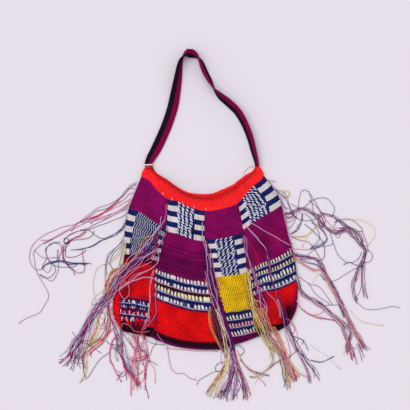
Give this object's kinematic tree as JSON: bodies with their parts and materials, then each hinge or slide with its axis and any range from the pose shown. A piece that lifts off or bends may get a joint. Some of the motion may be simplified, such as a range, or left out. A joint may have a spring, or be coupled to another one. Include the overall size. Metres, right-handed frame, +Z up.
{
  "type": "bilum string bag",
  "caption": "Looped string bag laid flat: two layers of patterned gores, a red rim, a twisted two-colour band strap and long loose yarn fringes at its seams.",
  "frame": {"origin": "on the surface below the bag, at the centre of the bounding box's bottom", "axes": "+X to the right across the bag as it is seen from above, +Y from its foot to its strap, +Z up off the surface"},
  "size_m": [0.7656, 0.7108, 0.0194],
  "materials": {
    "yarn_magenta": "looped wool yarn, matt",
    "yarn_red": "looped wool yarn, matt",
    "yarn_yellow": "looped wool yarn, matt",
    "yarn_navy": "looped wool yarn, matt",
    "yarn_cream": "looped wool yarn, matt",
    "yarn_olive": "loose yarn ends, matt",
    "yarn_dark": "dense woven band, matt",
    "shell": "thin shell-like disc, satin"
  },
  "bodies": {
    "root": {"front_gore_1": "yarn_magenta", "front_gore_2": "yarn_red", "front_gore_3": "yarn_yellow", "front_gore_4": "yarn_magenta", "back_gore_1": "yarn_red", "back_gore_2": "yarn_magenta", "back_gore_3": "yarn_red", "back_gore_4": "yarn_magenta", "front_rim": "yarn_red", "back_rim": "yarn_red", "strap": "yarn_dark", "strap_tie": "yarn_cream", "disc": "shell", "fringe_left_side": "yarn_navy", "fringe_left_upper": "yarn_magenta", "fringe_left_seam": "yarn_magenta", "fringe_left_foot": "yarn_red", "fringe_middle_seam": "yarn_olive", "fringe_right_seam": "yarn_olive", "fringe_right_gore": "yarn_magenta", "fringe_right_top": "yarn_navy", "fringe_right_upper": "yarn_magenta", "fringe_right_lower": "yarn_navy"}
  },
  "joints": []
}
